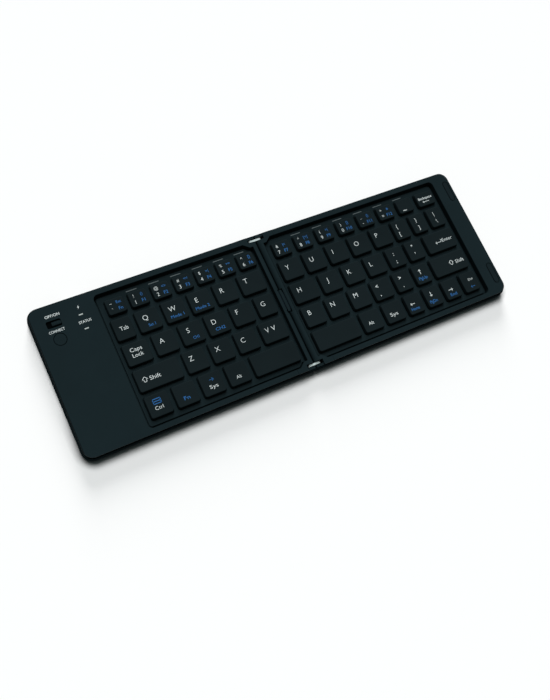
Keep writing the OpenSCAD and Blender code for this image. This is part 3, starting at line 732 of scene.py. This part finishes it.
# each number key: two white signs on the left and two blue ones on the right
NUMBER_MARKS = ((3.3, 3.0, 2.1, "white"), (3.3, 7.2, 2.5, "white"),
                (8.4, 3.0, 1.9, "blue"), (8.4, 7.2, 2.2, "blue"))
NUMBER_BOLD = {"white": -0.008, "blue": 0.006}
NUMBERS = {
    "left_number_keys": ("~!@#$%^", "`123456", ["Esc", "()", "<>", "<<", ">|", ">>", "[]"],
                         ["Fn", "F1", "F2", "F3", "F4", "F5", "F6"]),
    "right_number_keys": ("&*()_+ ", "7890-= ", ["|<", "[+]", ">|", "[]", "{}", "#", ""],
                          ["F7", "F8", "F9", "F10", "F11", "F12", ""]),
}
for node, signs in NUMBERS.items():
    for index, texts in enumerate(zip(*signs)):
        for text, (dx, dy, tall, colour) in zip(texts, NUMBER_MARKS):
            if text.strip():
                x, y = on_key(node, dx, dy, index)
                stamp(node, colour, word(text, x, y, tall, face_z, bold=NUMBER_BOLD[colour]))

# keys with one sign above another
PAIR_TALL = 2.8
PAIR_FRONT = (4.3, 9.9)
PAIRS = {
    "bracket_keys": (-0.004, (("{", "[", 3.6), ("}", "]", 4.7), ("|", "\\", 5.1))),
    "punctuation_keys": (0.016, ((":", ";", 5.4), ("\"", "'", 5.4),
                                 ("<", ",", 4.3), (">", ".", 5.1))),
}
for node, (bold, signs) in PAIRS.items():
    for index, (above, below, dx) in enumerate(signs):
        for text, dy in zip((above, below), PAIR_FRONT):
            x, y = on_key(node, dx, dy, index)
            stamp(node, "white", word(text, x, y, PAIR_TALL, face_z, bold=bold))

# node, text, right, front, height, width, then colour, which key of the node, and bold
LABEL_BOLD = {"white": -0.006, "blue": 0.006}
LABELS = (
    ("tab_key", "Tab", 6.5, 6.8, 2.7, 5.2),
    ("caps_lock_key", "Caps", 7.9, 4.5, 2.6, 7.5),
    ("caps_lock_key", "Lock", 7.9, 8.1, 2.6, 6.9),
    ("left_shift_key", "Shift", 12.0, 7.3, 2.7, 7.0),
    ("ctrl_key", "Ctrl", 6.9, 8.7, 2.4, 5.2),
    ("fn_key", "Fn", 7.0, 9.4, 2.4, 3.8, "blue"),
    ("left_system_key", "Sys", 7.6, 8.9, 2.4, 5.5),
    ("left_alt_key", "Alt", 7.0, 9.1, 2.3, 3.4),
    ("right_alt_key", "Alt", 6.1, 8.5, 2.4, 3.8),
    ("right_system_key", "Sys", 6.5, 8.6, 2.6, 5.8),
    ("backspace_key", "Backspace", 7.1, 4.5, 1.9, 10.8, "white", 0, 0.006),
    ("enter_key", "Enter", 17.2, 7.2, 2.5, 8.2),
    ("right_shift_key", "Shift", 22.0, 7.5, 2.6, 6.8),
    ("delete_key", "Del", 7.4, 5.6, 1.7, 3.4),
    ("left_arrow_key", "Home", 5.2, 10.5, 2.2, 6.2, "blue"),
    ("down_key", "PgDn", 4.9, 10.4, 2.2, 5.8, "blue"),
    ("right_arrow_key", "End", 5.8, 10.9, 2.2, 5.0, "blue"),
    ("up_key", "PgUp", 5.7, 10.0, 2.2, 6.5, "blue"),
    ("qwert_keys", "Set 1", 8.3, 10.5, 2.0, 4.4, "blue", 0),
    ("qwert_keys", "Mode 1", 7.7, 10.7, 2.0, 8.7, "blue", 1),
    ("qwert_keys", "Mode 2", 7.1, 11.0, 2.0, 9.3, "blue", 2),
    ("asdfg_keys", "CH1", 8.8, 10.6, 2.0, 3.8, "blue", 1),
    ("asdfg_keys", "CH2", 7.9, 10.6, 2.1, 6.5, "blue", 2),
    ("right_number_keys", "~", 4.6, 8.0, 3.6, 2.7, "white", 6, 0.004),
    ("zxcv_keys", "V", 9.1, 5.5, 3.2, 2.8, "white", 3),
)


def label(node, text, dx, dy, tall, wide, colour="white", index=0, bold=None):
    """A word on one key."""
    if bold is None:
        bold = LABEL_BOLD[colour]
    x, y = on_key(node, dx, dy, index)
    stamp(node, colour, word(text, x, y, tall, face_z, wide, bold))


for row in LABELS:
    label(*row)

# node, right, front, angle, length, width, head and colour of the line arrows
ARROWS = (
    ("left_arrow_key", 4.6, 7.1, 180, 3.2, 0.36, 0.9, "white"),
    ("down_key", 5.1, 5.4, 270, 3.2, 0.36, 0.9, "white"),
    ("right_arrow_key", 5.3, 7.5, 0, 3.2, 0.36, 0.9, "white"),
    ("up_key", 5.4, 5.4, 90, 3.2, 0.36, 0.9, "white"),
    ("backspace_key", 6.7, 7.3, 180, 5.0, 0.28, 0.8, "white"),
    ("enter_key", 10.1, 7.9, 180, 4.6, 0.3, 0.9, "white"),
    ("delete_key", 6.9, 10.9, 180, 3.2, 0.3, 0.9, "blue"),
)
SHIFT_ARROW = 1.8
MENU_MARK = 2.4
HOOK = 1.7      # the short upright at the end of Enter's arrow
for node, dx in (("left_shift_key", 5.6), ("right_shift_key", 15.4)):
    stamp(node, "white", hollow_arrow(*on_key(node, dx, 7.2), SHIFT_ARROW, face_z))
for node, dx, dy, angle, length, width, head, colour in ARROWS:
    stamp(node, colour, arrow(*on_key(node, dx, dy), angle, length, face_z, width, head))
x, y = on_key("enter_key", 12.4, 7.9)
stamp("enter_key", "white", bar(x, y, x, y + HOOK, 0.3, face_z))
stamp("ctrl_key", "blue", menu_mark(*on_key("ctrl_key", 6.9, 4.7), MENU_MARK, face_z))
stamp("left_system_key", "blue",
      arrow(*on_key("left_system_key", 7.8, 4.6), 0, 2.8, face_z, width=0.26, head=1.1))

# labels on the plain end of the case: text, middle, height, width and bold
case_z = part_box("left_bezel")[1].z
button_low, button_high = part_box("connect_button")
button_x, button_y = ((button_low + button_high) / 2).xy / MM
light_low, light_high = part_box("status_lights")
light_x = (light_low.x + light_high.x) / 2 / MM
for text, x, y, tall, wide, bold in (
        ("OFF/ON", button_x + 0.7, button_y + 15.5, 1.8, 8.9, 0.016),
        ("CONNECT", button_x, button_y + 5.6, 1.7, 9.6, 0.008),
        ("STATUS", light_x + 0.8, button_y + 5.6, 1.7, 7.7, 0.008)):
    stamp("left_half", "white", word(text, x, y, tall, case_z, wide, bold))
BOLT = [(0.4, 1.3), (-0.65, -0.2), (-0.05, -0.2), (-0.45, -1.3), (0.65, 0.25), (0.05, 0.2)]
stamp("left_half", "white", shape(BOLT, light_x + 0.2, button_y + 15.2, case_z))

# painted highlights: short pale marks on the deck behind the number keys
DASH_IN = 1.0
DASH_BEHIND = 1.9
DASH_LONG = 6.4
DASH_WIDE = 0.55
deck_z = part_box("left_deck")[1].z
for side in ("left", "right"):
    for foot in feet_of_keys[side + "_number_keys"][1:]:
        x, y = corner(foot, DASH_IN, -DASH_BEHIND)
        stamp(side + "_half", "grey", bar(x, y, x + DASH_LONG, y, DASH_WIDE, deck_z))

INKS = {"white": WHITE, "blue": BLUE, "grey": PAINTED_GLINT}
for (body, colour), pieces in prints_and_painted_glints.items():
    dress(join(pieces), body + "_print_" + colour, INKS[colour], body)

# ---- Rubber domes and scissors: one piece under each group of keys ----


def part_of(node, feet, name, material, body):
    """What a CAD node holds under some keys, as a piece of its own."""
    piece = copy_of(node)
    edit(piece)
    pick_verts(piece, lambda c: not any(f[0] <= c.x <= f[2] and f[1] <= c.y <= f[3] for f in feet))
    bpy.ops.mesh.delete(type="VERT")
    done()
    smooth(piece)
    dress(piece, name, material, body)
    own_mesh(piece)
    return piece


presses = {j["child"]: j for j in frame["joints"] if j["child"] in feet_of_keys}
for side in ("left", "right"):
    made = {"domes": [], "scissors": []}
    for node, joint in presses.items():
        if joint["parent"] != side + "_half":
            continue
        for kind, material in (("domes", DOME), ("scissors", SCISSOR)):
            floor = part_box(side + "_" + kind)[0].z
            made[kind].append(part_of(side + "_" + kind, feet_of_keys[node], node + "_" + kind,
                                      material, side + "_half"))
    for kind, pieces in made.items():
        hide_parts(side + "_" + kind)

# ---- Ribbon cable: cut into a left and a right half ----

for side, sign in (("left", -1), ("right", 1)):
    half = copy_of("ribbon_cable")
    edit(half)
    bpy.ops.mesh.select_all(action="SELECT")
    bpy.ops.mesh.bisect(plane_co=(0, 0, 0), plane_no=(sign, 0, 0), use_fill=True, clear_inner=True)
    done()
    half.name = side + "_ribbon"
    half.data.name = half.name
    half.data.materials.clear()
    half.data.materials.append(FILM)
    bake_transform(half)
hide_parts("ribbon_cable")

# ---- Grip ridges on the slider ----

RIDGE = (0.45, 2.0, 0.24)       # width, length and height, in mm
RIDGE_STEP = 1.1

knob_low, knob_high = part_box("power_slider")
knob = (knob_low + knob_high) / 2
ridges = []
for step in (-1.5, -0.5, 0.5, 1.5):
    clear_selection()
    place = (knob.x + step * RIDGE_STEP * MM, knob.y, knob_high.z)
    bpy.ops.mesh.primitive_cube_add(size=1, location=place)
    ridge = bpy.context.object
    ridge.scale = [side * MM for side in RIDGE]
    settle(ridge)
    ridges.append(soften(ridge, 0.1, 2))
dress(join(ridges), "slider_ridges", CONTROL, "power_slider")

# ---- Camera, light and floor ----

# the picture's camera, fitted to the outline of the case
FOCAL_PIXELS = 839
PICTURE_PIXELS = 700
SENSOR = 36.0
CAMERA_RIGHT = Vector((0.877092, -0.420331, 0.232449))
CAMERA_DOWN = Vector((-0.343667, -0.887262, -0.307666))
CAMERA_FORWARD = Vector((0.335564, 0.189967, -0.922664))
CAMERA_PLACE = Vector((-195.44, -126.77, 488.98)) * MM

# painted contact shadow: the dark line where the front edge meets the floor
CONTACT_REACH = 5.5 * MM
CONTACT_OPEN = (0.5, 1.0)
PAINTED_CONTACT_SHADE = 0.13
CONTACT_Y = (-47 * MM, -12 * MM)        # full in front of the first, none behind the second


def camera():
    data = bpy.data.cameras.new("view")
    data.sensor_fit = "AUTO"
    data.sensor_width = SENSOR
    data.lens = FOCAL_PIXELS * SENSOR / PICTURE_PIXELS
    seat = bpy.data.objects.new("view", data)
    bpy.context.scene.collection.objects.link(seat)
    place = Matrix((CAMERA_RIGHT, -CAMERA_DOWN, -CAMERA_FORWARD)).transposed().to_4x4()
    place.translation = CAMERA_PLACE
    seat.matrix_world = place
    data.clip_start = 0.01
    data.clip_end = 20
    bpy.context.scene.camera = seat


def lamp(name, azimuth, elevation, spread, share, colour=(1, 1, 1)):
    """A wide far lamp without a highlight, which gives a level floor its share of full white.

    Azimuth 0 is +X and 90 is the back."""
    data = bpy.data.lights.new(name, "SUN")
    data.angle = math.radians(spread)
    data.energy = math.pi * share / math.sin(math.radians(elevation))
    data.color = colour
    holder = bpy.data.objects.new(name, data)
    bpy.context.scene.collection.objects.link(holder)
    turn, rise = math.radians(azimuth), math.radians(elevation)
    level = math.cos(rise)
    towards = Vector((math.cos(turn) * level, math.sin(turn) * level, math.sin(rise)))
    holder.rotation_euler = towards.to_track_quat("Z", "Y").to_euler()
    holder.location = towards * 2
    holder.visible_glossy = False


def by_ray(tree, bounced, seen):
    """One colour for what the camera sees and another for the light that bounces."""
    ray = put(tree, "ShaderNodeLightPath")
    mix = put(tree, "ShaderNodeMix", data_type="RGBA")
    tree.links.new(ray.outputs["Is Camera Ray"], mix.inputs["Factor"])
    mix.inputs["A"].default_value = (*bounced, 1)
    mix.inputs["B"].default_value = (*seen, 1)
    return mix.outputs["Result"]


def floor():
    clear_selection()
    bpy.ops.mesh.primitive_plane_add(size=8, location=(0, 0, 0))
    ground = bpy.context.object
    ground.name = "ground"
    material, tree, skin = coloured("pale_floor")
    pale = by_ray(tree, (0.80, 0.81, 0.81), (0.985, 0.985, 0.985))
    depth = put(tree, "ShaderNodeSeparateXYZ", {"Vector": object_place(tree)}).outputs["Y"]
    # painted contact shadow: ambient occlusion darkens the floor next to the case, full in front
    # and fading out towards the back
    near = put(tree, "ShaderNodeAmbientOcclusion", {"Distance": CONTACT_REACH}, samples=12)
    painted_contact_shadow = put(tree, "ShaderNodeMix", data_type="FLOAT")
    tree.links.new(remap(tree, depth, *CONTACT_Y, 1.0, 0.0), painted_contact_shadow.inputs["Factor"])
    painted_contact_shadow.inputs["A"].default_value = 1.0
    shade = remap(tree, near.outputs["AO"], *CONTACT_OPEN, PAINTED_CONTACT_SHADE, 1.0)
    tree.links.new(shade, painted_contact_shadow.inputs["B"])
    tree.links.new(scaled(tree, pale, painted_contact_shadow.outputs["Result"]), skin.inputs["Base Color"])
    skin.inputs["Roughness"].default_value = 0.9
    skin.inputs["Specular IOR Level"].default_value = 0.0
    ground.data.materials.append(material)


def world():
    scene = bpy.context.scene
    scene.world = bpy.data.worlds.new("studio")
    scene.world.use_nodes = True
    tree = scene.world.node_tree
    sky = by_ray(tree, (0.08, 0.102, 0.1), (1, 1, 1))
    tree.links.new(sky, tree.nodes["Background"].inputs["Color"])


camera()
world()
floor()
lamp("overhead", azimuth=92, elevation=61, spread=34, share=0.66)
lamp("low", azimuth=72, elevation=18, spread=24, share=0.26, colour=(1, 0.985, 0.98))
bpy.context.scene.view_settings.view_transform = "Standard"
